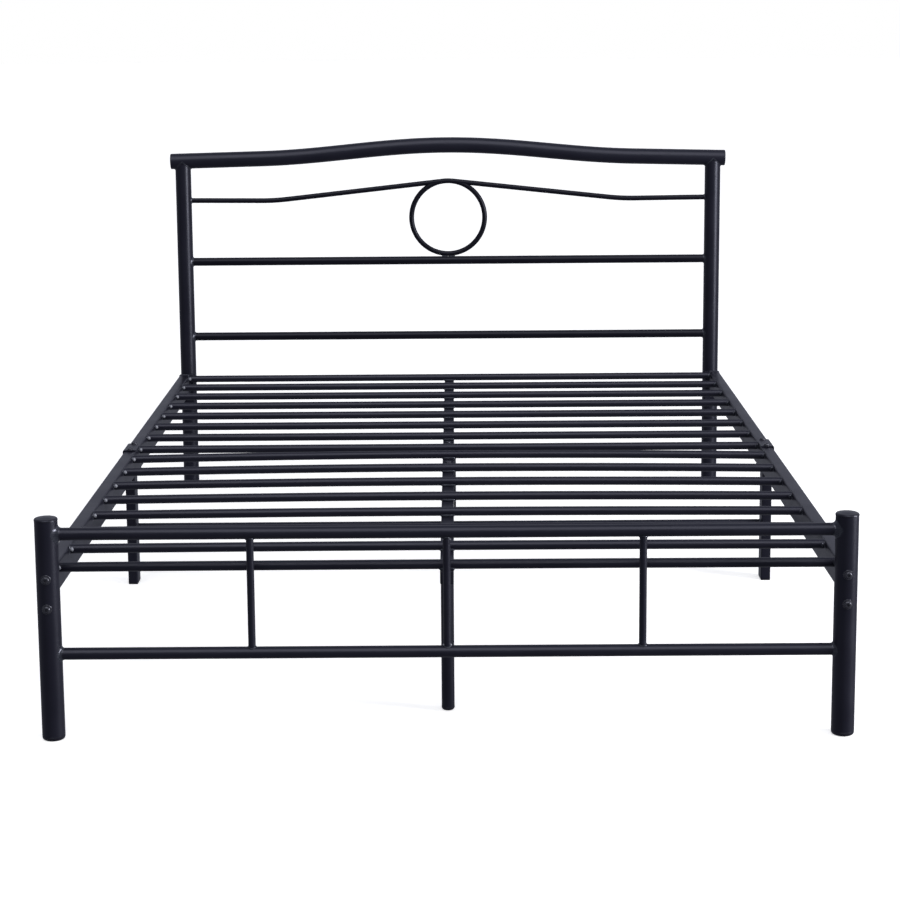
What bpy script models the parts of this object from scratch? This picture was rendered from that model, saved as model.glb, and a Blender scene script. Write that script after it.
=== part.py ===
"""A double metal bed frame: headboard, footboard, split side rails, round slats, centre rail and legs.

Metres, +Z up. The foot end is at -Y, the head end at +Y, and the origin is on the floor below the middle.
"""

import math

import bmesh
import bpy
from mathutils import Matrix, Vector

# Clearance between pieces that touch or are welded to each other.
GAP = 0.0003

# Overall layout, measured between post axes.
POST_HALF_SPACING = 0.685
FOOT_Y = -0.975
HEAD_Y = 0.975

# Posts.
POST_RADIUS = 0.020
POST_WALL = 0.0015
POST_SIDES = 16
GLIDE_HEIGHT = 0.008
GLIDE_PLUG_TOP = 0.024
GLIDE_ROUND = 0.005
FOOT_POST_TOP = 0.390

# End caps: a plug in the tube, and a dome that stands on its rim.
PLUG_RADIUS = POST_RADIUS - POST_WALL - GAP
RAIL_CAP_DOME = 0.0028
RAIL_CAP_SHOULDER = (0.012, 0.0021)
RAIL_CAP_PLUG = 0.012
POST_CAP_RADIUS = POST_RADIUS + 0.0005
POST_CAP_ROUND = 0.0035
POST_CAP_SKIRT = 0.0005
POST_CAP_DOME = 0.0018
POST_CAP_PLUG = 0.018

# Headboard.
ARCH_CREST_Z = 0.892
ARCH_DROP = 0.0325
ARCH_HALF_WAVE = 0.52
ARCH_END_SLOPE = 0.024
TOP_RAIL_END_X = 0.7145
TOP_RAIL_SPANS = 16
MID_BAR_Z = 0.5925
LOW_BAR_Z = 0.3953
BAR_RADIUS = 0.0105
BAR_WALL = 0.0012
BAR_SIDES = 12

# Scroll work.
ROD_RADIUS = 0.0065
ROD_SIDES = 8
RING_MAJOR = 0.0948
RING_SPANS = 32
RING_Z = MID_BAR_Z + BAR_RADIUS + GAP + RING_MAJOR + ROD_RADIUS
SCROLL_POST_Z = 0.7529
SCROLL_BEND_X = 0.450
SCROLL_BEND_Z = 0.7508
SCROLL_BEND_HALF = 0.035
SCROLL_SLOPE = 0.1095
SCROLL_INNER_X = 0.020

# Footboard.
FOOT_RAIL_Z = 0.3654
FOOT_RAIL_RADIUS = 0.011
FOOT_BAR_Z = 0.1528
SPINDLE_X = 0.337

# Side rails.
RAIL_OUTER_X = 0.7055
RAIL_WIDTH = 0.0265
RAIL_TOP = 0.2977
RAIL_HEIGHT = 0.051
RAIL_WALL = 0.0015
RAIL_CORNER = 0.003
JOINT_Y = 0.040

# End plates, which the frame bolts hold against the posts.
PLATE_THICKNESS = 0.004
PLATE_WIDTH = 0.032
PLATE_OFFSET_X = 0.001
PLATE_BOTTOM = 0.2237

# Frame bolts, one pair through each post.
BOLT_ZS = (0.2375, 0.2895)
BOLT_RADIUS = 0.004
BOLT_HEAD_RADIUS = 0.0065
BOLT_HEAD_HEIGHT = 0.0040
BOLT_TIP = 0.008

# Slats.
SLAT_RADIUS = 0.0086
SLAT_WALL = 0.0010
SLAT_SIDES = 10
SLAT_Z = 0.2922
SLATS_PER_HALF = 8
SLAT_FIRST_Y = 0.0496
SLAT_PITCH = 0.1244
CROWN_AT_MIDDLE = 0.0062
CROWN_AT_FOOT = 0.0008
CROWN_SPANS = 4

# Centre rail.
CENTRE_WIDTH = 0.024
CENTRE_SPLIT_Y = 0.005
CENTRE_END_Y = 0.932
CENTRE_CORNER = 0.002
LAP_LENGTH = 0.120
LAP_THICKNESS = 0.003
LAP_BITE = 0.0005
PACKER_END = 0.010

# The splice angle's upright flange, along the right side of the two halves of the centre rail.
FLANGE_THICKNESS = 0.004
FLANGE_FOOT_Y = -0.420
FLANGE_HEAD_Y = 0.125
FLANGE_TOP_DROP = 0.001

# Legs.
MIDDLE_LEG_OUTER_X = 0.7045
MIDDLE_LEG_WIDTH = 0.021
MIDDLE_LEG_DEPTH = 0.040
MIDDLE_LEG_Y = 0.022
STRETCHER_Z = 0.1225
CENTRE_LEG_RADIUS = 0.0117
CENTRE_LEG_Y = 0.835

# Joint brackets around the meeting ends of the side rails.
BRACKET_LENGTH = 0.074
BRACKET_THICKNESS = 0.0025
BRACKET_ROUND = 0.002

# How far cutters and channels run past what they cut.
CUTTER_MARGIN = 0.010

SIDES = {"left": -1, "right": 1}
RAIL_INNER_X = RAIL_OUTER_X - RAIL_WIDTH
RAIL_BOTTOM = RAIL_TOP - RAIL_HEIGHT
SLAT_LAST_Y = SLAT_FIRST_Y + (SLATS_PER_HALF - 1) * SLAT_PITCH
BLACK_STEEL = (0.020, 0.021, 0.026)
BLACK_PLASTIC = (0.012, 0.012, 0.014)


# ---------------------------------------------------------------- scene


def clear_scene():
    for obj in list(bpy.data.objects):
        bpy.data.objects.remove(obj, do_unlink=True)


def new_collection(name):
    collection = bpy.data.collections.new(name)
    bpy.context.scene.collection.children.link(collection)
    return collection


def new_material(name, colour, roughness, metallic):
    material = bpy.data.materials.new(name)
    material.use_nodes = True
    shader = material.node_tree.nodes["Principled BSDF"]
    shader.inputs["Base Color"].default_value = (*colour, 1.0)
    shader.inputs["Roughness"].default_value = roughness
    shader.inputs["Metallic"].default_value = metallic
    return material


clear_scene()
PARTS = new_collection("metal_bed_frame")
CUTTERS = new_collection("cutters")
STEEL = new_material("powder_coated_steel", BLACK_STEEL, 0.42, 0.0)
PLASTIC = new_material("black_plastic", BLACK_PLASTIC, 0.5, 0.0)
BOLT_STEEL = new_material("bolt_steel", BLACK_STEEL, 0.3, 0.6)


# ---------------------------------------------------------------- building blocks


def add_part(name, mesh, material):
    obj = bpy.data.objects.new(name, mesh)
    mesh.materials.append(material)
    PARTS.objects.link(obj)
    return obj


def as_cutter(obj):
    """Moves an object to the cutters, which are no part of the bed."""
    for collection in list(obj.users_collection):
        collection.objects.unlink(obj)
    CUTTERS.objects.link(obj)
    obj.hide_render = True
    obj.display_type = "WIRE"
    return obj


def smooth(obj, angle=40):
    obj.data.shade_smooth()
    obj.data.set_sharp_from_angle(angle=math.radians(angle))


def along(start, end):
    """Turns +Z into the direction from start to end, and moves the origin halfway."""
    start, end = Vector(start), Vector(end)
    turn = (end - start).to_track_quat("Z", "Y").to_matrix().to_4x4()
    return Matrix.Translation((start + end) / 2) @ turn


def cylinder_mesh(name, radius, length, sides, capped):
    mesh = bpy.data.meshes.new(name)
    shape = bmesh.new()
    bmesh.ops.create_cone(
        shape, cap_ends=capped, segments=sides, radius1=radius, radius2=radius, depth=length
    )
    shape.to_mesh(mesh)
    shape.free()
    return mesh


def add_solidify(obj, thickness):
    """Gives an open surface a wall that grows inwards."""
    wall = obj.modifiers.new("wall", "SOLIDIFY")
    wall.thickness = thickness
    wall.offset = -1
    wall.use_even_offset = True
    return wall


def cut(obj, *cutters):
    for cutter in cutters:
        step = obj.modifiers.new("cut_" + cutter.name, "BOOLEAN")
        step.operation = "DIFFERENCE"
        step.solver = "EXACT"
        step.object = cutter


def join(obj, other):
    step = obj.modifiers.new("join_" + other.name, "BOOLEAN")
    step.operation = "UNION"
    step.solver = "EXACT"
    step.object = other


def round_tube(name, start, end, radius, wall, sides, material=STEEL):
    length = (Vector(end) - Vector(start)).length
    obj = add_part(name, cylinder_mesh(name, radius, length, sides, False), material)
    obj.matrix_world = along(start, end)
    add_solidify(obj, wall)
    smooth(obj)
    return obj


def round_bar(name, start, end, radius, sides, material=STEEL):
    length = (Vector(end) - Vector(start)).length
    obj = add_part(name, cylinder_mesh(name, radius, length, sides, True), material)
    obj.matrix_world = along(start, end)
    smooth(obj)
    return obj


def block_mesh(name, size):
    mesh = bpy.data.meshes.new(name)
    shape = bmesh.new()
    bmesh.ops.create_cube(shape, size=1)
    bmesh.ops.scale(shape, vec=size, verts=shape.verts)
    shape.to_mesh(mesh)
    shape.free()
    return mesh


def block(name, low, high, material=STEEL):
    """A solid box between two corners."""
    low, high = Vector(low), Vector(high)
    size = Vector(abs(value) for value in high - low)
    obj = add_part(name, block_mesh(name, size), material)
    obj.location = (low + high) / 2
    return obj


def square_tube(name, low, high, axis, wall, corner, material=STEEL):
    """A rectangular tube between two corners, open at both ends of its axis (1 is Y, 2 is Z)."""
    obj = block(name, low, high, material)
    shape = bmesh.new()
    shape.from_mesh(obj.data)
    ends = [face for face in shape.faces if abs(face.normal[axis]) > 0.5]
    bmesh.ops.delete(shape, geom=ends, context="FACES_ONLY")
    shape.to_mesh(obj.data)
    shape.free()
    rounding = obj.modifiers.new("rounding", "BEVEL")
    rounding.width = corner
    rounding.segments = 2
    rounding.limit_method = "ANGLE"
    add_solidify(obj, wall)
    smooth(obj)
    return obj


def curve_object(name, points, radius, sides, capped, material=STEEL):
    """A curve through the points, swept with a round section."""
    data = bpy.data.curves.new(name, "CURVE")
    data.dimensions = "3D"
    data.bevel_depth = radius
    data.bevel_resolution = (sides - 4) // 2
    data.use_fill_caps = capped
    spline = data.splines.new("POLY")
    spline.points.add(len(points) - 1)
    for point, place in zip(spline.points, points):
        point.co = (*place, 1.0)
    data.materials.append(material)
    obj = bpy.data.objects.new(name, data)
    PARTS.objects.link(obj)
    return obj


def mesh_from_curve(curve, material=STEEL):
    """The curve's swept shape as a mesh object of the same name, with its caps welded on."""
    bpy.context.view_layer.update()
    evaluated = curve.evaluated_get(bpy.context.evaluated_depsgraph_get())
    mesh = bpy.data.meshes.new_from_object(evaluated)
    shape = bmesh.new()
    shape.from_mesh(mesh)
    bmesh.ops.remove_doubles(shape, verts=shape.verts, dist=0.00001)
    bmesh.ops.recalc_face_normals(shape, faces=shape.faces)
    shape.to_mesh(mesh)
    shape.free()
    name = curve.name
    place = curve.matrix_world.copy()
    bpy.data.objects.remove(curve, do_unlink=True)
    mesh.materials.clear()
    obj = add_part(name, mesh, material)
    obj.name = name
    obj.matrix_world = place
    smooth(obj)
    return obj


def turned(name, profile, steps, material):
    """A solid of revolution about Z from (radius, height) points that run top to bottom."""
    mesh = bpy.data.meshes.new(name)
    shape = bmesh.new()
    corners = [shape.verts.new((radius, 0, height)) for radius, height in profile]
    for first, second in zip(corners, corners[1:]):
        shape.edges.new((first, second))
    shape.to_mesh(mesh)
    shape.free()
    obj = add_part(name, mesh, material)
    screw = obj.modifiers.new("turn", "SCREW")
    screw.axis = "Z"
    screw.steps = steps
    screw.render_steps = steps
    screw.use_merge_vertices = True
    screw.merge_threshold = 0.00001
    screw.use_smooth_shade = True
    return obj


def quarter_round(centre_x, centre_z, radius, start, end, steps):
    """Points on an arc about (centre_x, centre_z), angles in degrees from +X towards +Z."""
    points = []
    for step in range(steps + 1):
        angle = math.radians(start + (end - start) * step / steps)
        points.append((centre_x + radius * math.cos(angle), centre_z + radius * math.sin(angle)))
    return points


# ---------------------------------------------------------------- shapes that follow a rule


def arch_z(x):
    """Height of the top rail's axis: a half wave down from the crest, then straight to the end."""
    peak_slope = ARCH_DROP * math.pi / (2 * ARCH_HALF_WAVE)
    turn_x = ARCH_HALF_WAVE * (1 - math.asin(ARCH_END_SLOPE / peak_slope) / math.pi)
    wave_x = min(abs(x), turn_x)
    drop = ARCH_DROP * (1 - math.cos(math.pi * wave_x / ARCH_HALF_WAVE)) / 2
    return ARCH_CREST_Z - drop - ARCH_END_SLOPE * (abs(x) - wave_x)


def scroll_z(x):
    """Height of the scroll rod's axis: level from the post, a gentle bend, then straight up to the ring."""
    outer_slope = (SCROLL_POST_Z - SCROLL_BEND_Z) / (POST_HALF_SPACING - SCROLL_BEND_X)
    start, end = SCROLL_BEND_X - SCROLL_BEND_HALF, SCROLL_BEND_X + SCROLL_BEND_HALF
    if x >= end:
        return SCROLL_BEND_Z + outer_slope * (x - SCROLL_BEND_X)
    if x <= start:
        return SCROLL_BEND_Z + SCROLL_SLOPE * (SCROLL_BEND_X - x)
    share = (x - start) / (end - start)
    curvature = (outer_slope + SCROLL_SLOPE) * (end - start) / 2
    rise = SCROLL_SLOPE * SCROLL_BEND_HALF
    return SCROLL_BEND_Z + rise - SCROLL_SLOPE * (x - start) + curvature * share * share


def crown(y):
    """How far the slats of the foot half rise at the middle of the bed, for a slat at y."""
    share = (-y - SLAT_FIRST_Y) / (SLAT_LAST_Y - SLAT_FIRST_Y)
    return CROWN_AT_MIDDLE + share * (CROWN_AT_FOOT - CROWN_AT_MIDDLE)


# ---------------------------------------------------------------- cutters


def post_cutter(name, x, y):
    bottom, top = (x, y, -CUTTER_MARGIN), (x, y, ARCH_CREST_Z)
    obj = round_bar(name, bottom, top, POST_RADIUS + GAP, 48)
    return as_cutter(obj)


def bar_cutter(name, z, radius):
    reach = POST_HALF_SPACING
    obj = round_bar(name, (-reach, FOOT_Y, z), (reach, FOOT_Y, z), radius + GAP, 32)
    return as_cutter(obj)


def bolt_hole(name, x, y, z, radius):
    reach = 2 * POST_RADIUS + CUTTER_MARGIN
    obj = round_bar(name, (x, y - reach, z), (x, y + reach, z), radius, 12)
    return as_cutter(obj)


POST_CUTTERS = {}
HOLE_CUTTERS = {}
for side, sign in SIDES.items():
    for end, end_y in (("foot", FOOT_Y), ("head", HEAD_Y)):
        post_x = sign * POST_HALF_SPACING
        POST_CUTTERS[end, side] = post_cutter(f"{end}_{side}_post_cutter", post_x, end_y)
        HOLE_CUTTERS[end, side] = [
            bolt_hole(f"{end}_{side}_hole_{index}", post_x, end_y, z, BOLT_RADIUS + 2 * GAP)
            for index, z in enumerate(BOLT_ZS)
        ]


def posts_at(end):
    return POST_CUTTERS[end, "left"], POST_CUTTERS[end, "right"]


# ---------------------------------------------------------------- headboard


def top_rail_points(reach):
    xs = [reach * (2 * step / TOP_RAIL_SPANS - 1) for step in range(TOP_RAIL_SPANS + 1)]
    return [(x, HEAD_Y, arch_z(x)) for x in xs]


def make_top_rail():
    points = top_rail_points(TOP_RAIL_END_X)
    rail = curve_object("headboard_top_rail", points, POST_RADIUS, POST_SIDES, False)
    rail = mesh_from_curve(rail)
    add_solidify(rail, POST_WALL)
    cutter = curve_object("top_rail_cutter", points, POST_RADIUS + GAP, 32, True)
    return as_cutter(mesh_from_curve(cutter))


def make_top_rail_cap(side, sign):
    """A push-in end cap: a low dome against the tube's rim and a plug inside it."""
    profile = [(0, RAIL_CAP_DOME), RAIL_CAP_SHOULDER, (POST_RADIUS, GAP)]
    profile += [(PLUG_RADIUS, GAP), (PLUG_RADIUS, -RAIL_CAP_PLUG), (0, -RAIL_CAP_PLUG)]
    cap = turned(f"headboard_rail_cap_{side}", profile, POST_SIDES, PLASTIC)
    slope = math.atan(ARCH_END_SLOPE)
    cap.rotation_euler = (0, sign * (math.pi / 2 + slope), 0)
    cap.location = (sign * TOP_RAIL_END_X, HEAD_Y, arch_z(TOP_RAIL_END_X))
    return cap


def make_headboard_post(side, sign, rail_cutter):
    x = sign * POST_HALF_SPACING
    bottom = (x, HEAD_Y, GLIDE_HEIGHT)
    top = (x, HEAD_Y, arch_z(POST_HALF_SPACING))
    post = round_tube(f"headboard_post_{side}", bottom, top, POST_RADIUS, POST_WALL, POST_SIDES)
    cut(post, rail_cutter, *HOLE_CUTTERS["head", side])


def make_cross_bar(name, y, z, radius, end):
    reach = POST_HALF_SPACING - POST_RADIUS / 2
    start, stop = (-reach, y, z), (reach, y, z)
    bar = round_tube(name, start, stop, radius, BAR_WALL, BAR_SIDES)
    cut(bar, *posts_at(end))


def ring_torus(name, tube_radius, tube_sides):
    """The ring's shape about its axis along Y, in the plane of the headboard."""
    bpy.ops.mesh.primitive_torus_add(
        location=(0, HEAD_Y, RING_Z),
        rotation=(math.pi / 2, 0, 0),
        major_radius=RING_MAJOR,
        minor_radius=tube_radius,
        major_segments=RING_SPANS,
        minor_segments=tube_sides,
    )
    torus = bpy.context.object
    torus.name = name
    return torus


def make_ring():
    ring = ring_torus("scroll_ring", ROD_RADIUS, ROD_SIDES)
    ring.data.materials.append(STEEL)
    for collection in list(ring.users_collection):
        collection.objects.unlink(ring)
    PARTS.objects.link(ring)
    smooth(ring)


def make_scroll_rod(side, sign, ring_cutter):
    bend_start = SCROLL_BEND_X - SCROLL_BEND_HALF
    bend_end = SCROLL_BEND_X + SCROLL_BEND_HALF
    bend = [bend_start + (bend_end - bend_start) * step / 6 for step in range(7)]
    xs = [SCROLL_INNER_X, *bend, POST_HALF_SPACING - POST_RADIUS / 2]
    points = [(sign * x, HEAD_Y, scroll_z(x)) for x in xs]
    rod = curve_object(f"scroll_rod_{side}", points, ROD_RADIUS, ROD_SIDES, True)
    rod = mesh_from_curve(rod)
    cut(rod, ring_cutter, POST_CUTTERS["head", side])


def make_glide(end, side, x, y):
    """The plastic foot of a post: a rounded sole on the floor and a plug inside the tube."""
    shoulder = GLIDE_HEIGHT - GAP
    profile = [(0, GLIDE_PLUG_TOP), (PLUG_RADIUS, GLIDE_PLUG_TOP)]
    profile += [(PLUG_RADIUS, shoulder), (POST_RADIUS, shoulder)]
    profile += quarter_round(POST_RADIUS - GLIDE_ROUND, GLIDE_ROUND, GLIDE_ROUND, 0, -90, 2)
    profile += [(0, 0)]
    glide = turned(f"{end}board_glide_{side}", profile, POST_SIDES, PLASTIC)
    glide.location = (x, y, 0)


# ---------------------------------------------------------------- footboard


def make_foot_post(side, sign):
    x = sign * POST_HALF_SPACING
    bottom, top = (x, FOOT_Y, GLIDE_HEIGHT), (x, FOOT_Y, FOOT_POST_TOP)
    post = round_tube(f"footboard_post_{side}", bottom, top, POST_RADIUS, POST_WALL, POST_SIDES)
    cut(post, *HOLE_CUTTERS["foot", side])


def make_foot_post_cap(side, sign):
    """The domed cap on a foot post, with a rounded rim and a plug inside the tube."""
    skirt = GAP + POST_CAP_SKIRT
    rim = quarter_round(POST_CAP_RADIUS - POST_CAP_ROUND, skirt, POST_CAP_ROUND, 90, 0, 2)
    crest = skirt + POST_CAP_ROUND + POST_CAP_DOME
    profile = [(0, crest), *rim, (POST_CAP_RADIUS, GAP)]
    profile += [(PLUG_RADIUS, GAP), (PLUG_RADIUS, -POST_CAP_PLUG), (0, -POST_CAP_PLUG)]
    cap = turned(f"footboard_post_cap_{side}", profile, POST_SIDES, PLASTIC)
    cap.location = (sign * POST_HALF_SPACING, FOOT_Y, FOOT_POST_TOP)


def make_spindles():
    cutters = (
        bar_cutter("foot_rail_cutter", FOOT_RAIL_Z, FOOT_RAIL_RADIUS),
        bar_cutter("foot_bar_cutter", FOOT_BAR_Z, BAR_RADIUS),
    )
    for name, x in (("left", -SPINDLE_X), ("centre", 0), ("right", SPINDLE_X)):
        start, stop = (x, FOOT_Y, FOOT_BAR_Z), (x, FOOT_Y, FOOT_RAIL_Z)
        spindle = round_bar(f"footboard_spindle_{name}", start, stop, ROD_RADIUS, ROD_SIDES)
        cut(spindle, *cutters)


# ---------------------------------------------------------------- side rails


def make_end_plate(end, side, sign):
    """The plate that closes a rail at its post; it is welded to the rail."""
    outwards = -1 if end == "foot" else 1
    post_y = FOOT_Y if end == "foot" else HEAD_Y
    near = post_y - outwards * (POST_RADIUS + GAP)
    far = near - outwards * PLATE_THICKNESS
    middle = sign * (POST_HALF_SPACING + PLATE_OFFSET_X)
    low = (middle - PLATE_WIDTH / 2, min(near, far), PLATE_BOTTOM)
    high = (middle + PLATE_WIDTH / 2, max(near, far), RAIL_TOP)
    return as_cutter(block(f"{end}_{side}_end_plate", low, high)), (near + far) / 2


def make_side_rail(end, side, sign):
    plate, plate_y = make_end_plate(end, side, sign)
    inner_end = JOINT_Y - GAP if end == "foot" else JOINT_Y + GAP
    xs = sorted((sign * RAIL_INNER_X, sign * RAIL_OUTER_X))
    ys = sorted((plate_y, inner_end))
    low, high = (xs[0], ys[0], RAIL_BOTTOM), (xs[1], ys[1], RAIL_TOP)
    name = f"side_rail_{end}_{side}"
    rail = square_tube(name, low, high, 1, RAIL_WALL, RAIL_CORNER)
    join(rail, plate)
    cut(rail, *HOLE_CUTTERS[end, side])


def make_bolt(end, side, sign, index, z):
    """A button-head frame bolt, from the outside of the post through the end plate."""
    outwards = -1 if end == "foot" else 1
    post_y = FOOT_Y if end == "foot" else HEAD_Y
    reach = 2 * POST_RADIUS + GAP + PLATE_THICKNESS + BOLT_TIP
    shoulder = (0.77 * BOLT_HEAD_RADIUS, 0.75 * BOLT_HEAD_HEIGHT)
    profile = [(0, BOLT_HEAD_HEIGHT), shoulder, (BOLT_HEAD_RADIUS, 0.25 * BOLT_HEAD_HEIGHT)]
    profile += [(BOLT_HEAD_RADIUS, 0), (BOLT_RADIUS, 0), (BOLT_RADIUS, -reach), (0, -reach)]
    bolt = turned(f"frame_bolt_{end}_{side}_{index}", profile, 10, BOLT_STEEL)
    bolt.rotation_euler = (-outwards * math.pi / 2, 0, 0)
    head_y = post_y + outwards * (POST_RADIUS + GAP)
    bolt.location = (sign * POST_HALF_SPACING, head_y, z)


def make_joint_bracket(side, sign):
    """A channel over the top, the outside and the bottom of the two rail ends."""
    inner = RAIL_INNER_X + GAP
    web_in, web_out = RAIL_OUTER_X + GAP, RAIL_OUTER_X + GAP + BRACKET_THICKNESS
    low_y, high_y = JOINT_Y - BRACKET_LENGTH / 2, JOINT_Y + BRACKET_LENGTH / 2
    bottom, top = RAIL_BOTTOM - GAP, RAIL_TOP + GAP
    xs = sorted((sign * inner, sign * web_out))
    low = (xs[0], low_y, bottom - BRACKET_THICKNESS)
    high = (xs[1], high_y, top + BRACKET_THICKNESS)
    bracket = block(f"joint_bracket_{side}", low, high)
    hollow = sorted((sign * (inner - CUTTER_MARGIN), sign * web_in))
    channel_low = (hollow[0], low_y - CUTTER_MARGIN, bottom)
    channel_high = (hollow[1], high_y + CUTTER_MARGIN, top)
    channel = as_cutter(block(f"bracket_channel_{side}", channel_low, channel_high))
    rounding = bracket.modifiers.new("rounding", "BEVEL")
    rounding.width = BRACKET_ROUND
    rounding.segments = 2
    cut(bracket, channel)
    smooth(bracket)


# ---------------------------------------------------------------- slats


def make_straight_slat(number, y):
    reach = RAIL_INNER_X - GAP
    start, stop = (-reach, y, SLAT_Z), (reach, y, SLAT_Z)
    round_tube(f"slat_{number:02d}", start, stop, SLAT_RADIUS, SLAT_WALL, SLAT_SIDES)


def make_crowned_slat(number, y):
    """A slat of the foot half, which rises a little towards the middle of the bed."""
    reach = RAIL_INNER_X - GAP
    shares = [2 * step / CROWN_SPANS - 1 for step in range(CROWN_SPANS + 1)]
    points = [(reach * share, y, SLAT_Z + crown(y) * (1 - share**2)) for share in shares]
    name = f"slat_{number:02d}"
    slat = mesh_from_curve(curve_object(name, points, SLAT_RADIUS, SLAT_SIDES, False))
    add_solidify(slat, SLAT_WALL)


# ---------------------------------------------------------------- centre rail and legs


def centre_rail_bottom(y):
    """Height of the centre rail's underside at y."""
    rise = crown(y) if y < CENTRE_SPLIT_Y else 0.0
    return SLAT_Z + rise - SLAT_RADIUS - GAP - CENTRE_WIDTH


def make_centre_rail_foot():
    """The foot half, tilted with the crown of its slats."""
    start_y, stop_y = -CENTRE_END_Y, CENTRE_SPLIT_Y - GAP
    half = CENTRE_WIDTH / 2
    length = stop_y - start_y
    low, high = (-half, -length / 2, -half), (half, length / 2, half)
    rail = square_tube("centre_rail_foot", low, high, 1, RAIL_WALL, CENTRE_CORNER)
    middle_y = (start_y + stop_y) / 2
    rise = crown(-GAP) - crown(start_y)
    rail.rotation_euler = (math.atan(rise / length), 0, 0)
    rail.location = (0, middle_y, centre_rail_bottom(middle_y) + half)


def make_centre_rail_head():
    """The head half, with the splice angle that reaches under and beside the foot half welded to it."""
    half = CENTRE_WIDTH / 2
    bottom = centre_rail_bottom(CENTRE_SPLIT_Y)
    low = (-half, CENTRE_SPLIT_Y + GAP, bottom)
    high = (half, CENTRE_END_Y, bottom + CENTRE_WIDTH)
    rail = square_tube("centre_rail_head", low, high, 1, RAIL_WALL, CENTRE_CORNER)
    for shape in splice_angle(bottom):
        join(rail, as_cutter(shape))


def splice_angle(bottom):
    """The splice angle: a lap plate below, a packer on it and an upright flange on the right."""
    half = CENTRE_WIDTH / 2
    flange_in = half + GAP
    flange_out = flange_in + FLANGE_THICKNESS
    foot_y, head_y = CENTRE_SPLIT_Y - LAP_LENGTH, CENTRE_SPLIT_Y + LAP_LENGTH
    plate_bottom = bottom - LAP_THICKNESS
    packer_top = bottom + crown(foot_y) - GAP
    flange_top = bottom + CENTRE_WIDTH - FLANGE_TOP_DROP
    plate = block("lap_plate", (-half, foot_y, plate_bottom), (flange_out, head_y, bottom + LAP_BITE))
    packer_end = CENTRE_SPLIT_Y - PACKER_END
    packer = block("lap_packer", (-half, foot_y, plate_bottom), (half, packer_end, packer_top))
    flange_low = (flange_in, FLANGE_FOOT_Y, plate_bottom)
    flange = block("lap_flange", flange_low, (flange_out, FLANGE_HEAD_Y, flange_top))
    return plate, packer, flange


def make_middle_leg(side, sign):
    xs = sorted((sign * (MIDDLE_LEG_OUTER_X - MIDDLE_LEG_WIDTH), sign * MIDDLE_LEG_OUTER_X))
    top = RAIL_BOTTOM - GAP - BRACKET_THICKNESS - GAP
    low = (xs[0], MIDDLE_LEG_Y - MIDDLE_LEG_DEPTH / 2, 0)
    high = (xs[1], MIDDLE_LEG_Y + MIDDLE_LEG_DEPTH / 2, top)
    square_tube(f"middle_leg_{side}", low, high, 2, RAIL_WALL, CENTRE_CORNER)


def make_stretcher():
    reach = MIDDLE_LEG_OUTER_X - MIDDLE_LEG_WIDTH - GAP
    start, stop = (-reach, MIDDLE_LEG_Y, STRETCHER_Z), (reach, MIDDLE_LEG_Y, STRETCHER_Z)
    round_tube("middle_leg_stretcher", start, stop, BAR_RADIUS, BAR_WALL, BAR_SIDES)


def make_centre_leg(name, y):
    start, stop = (0, y, 0), (0, y, centre_rail_bottom(y) - 2 * GAP)
    round_tube(name, start, stop, CENTRE_LEG_RADIUS, BAR_WALL, BAR_SIDES)


# ---------------------------------------------------------------- the whole bed


def make_headboard():
    rail_cutter = make_top_rail()
    ring_cutter = as_cutter(ring_torus("ring_cutter", ROD_RADIUS + GAP, 2 * ROD_SIDES))
    make_ring()
    make_cross_bar("headboard_mid_bar", HEAD_Y, MID_BAR_Z, BAR_RADIUS, "head")
    make_cross_bar("headboard_low_bar", HEAD_Y, LOW_BAR_Z, BAR_RADIUS, "head")
    for side, sign in SIDES.items():
        make_top_rail_cap(side, sign)
        make_headboard_post(side, sign, rail_cutter)
        make_scroll_rod(side, sign, ring_cutter)
        make_glide("head", side, sign * POST_HALF_SPACING, HEAD_Y)


def make_footboard():
    make_cross_bar("footboard_top_rail", FOOT_Y, FOOT_RAIL_Z, FOOT_RAIL_RADIUS, "foot")
    make_cross_bar("footboard_low_bar", FOOT_Y, FOOT_BAR_Z, BAR_RADIUS, "foot")
    make_spindles()
    for side, sign in SIDES.items():
        make_foot_post(side, sign)
        make_foot_post_cap(side, sign)
        make_glide("foot", side, sign * POST_HALF_SPACING, FOOT_Y)


def make_slats():
    for place in range(SLATS_PER_HALF):
        y = SLAT_FIRST_Y + place * SLAT_PITCH
        make_straight_slat(SLATS_PER_HALF - place, y)
        make_crowned_slat(SLATS_PER_HALF + 1 + place, -y)


def make_platform():
    for side, sign in SIDES.items():
        for end in ("foot", "head"):
            make_side_rail(end, side, sign)
            for index, z in enumerate(BOLT_ZS, start=1):
                make_bolt(end, side, sign, index, z)
        make_joint_bracket(side, sign)
        make_middle_leg(side, sign)
    make_slats()
    make_centre_rail_foot()
    make_centre_rail_head()
    make_stretcher()
    make_centre_leg("centre_leg_foot", -CENTRE_LEG_Y)
    make_centre_leg("centre_leg_head", CENTRE_LEG_Y)


make_headboard()
make_footboard()
make_platform()
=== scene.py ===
"""The looks of the metal bed frame: tubes, weld beads, bolts, plastic caps and glides, and their finishes.

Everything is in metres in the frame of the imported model: +Z up, the foot end at -Y, the head end at +Y.
"""

import math

import bmesh
import bpy
from mathutils import Matrix, Vector, noise


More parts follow.
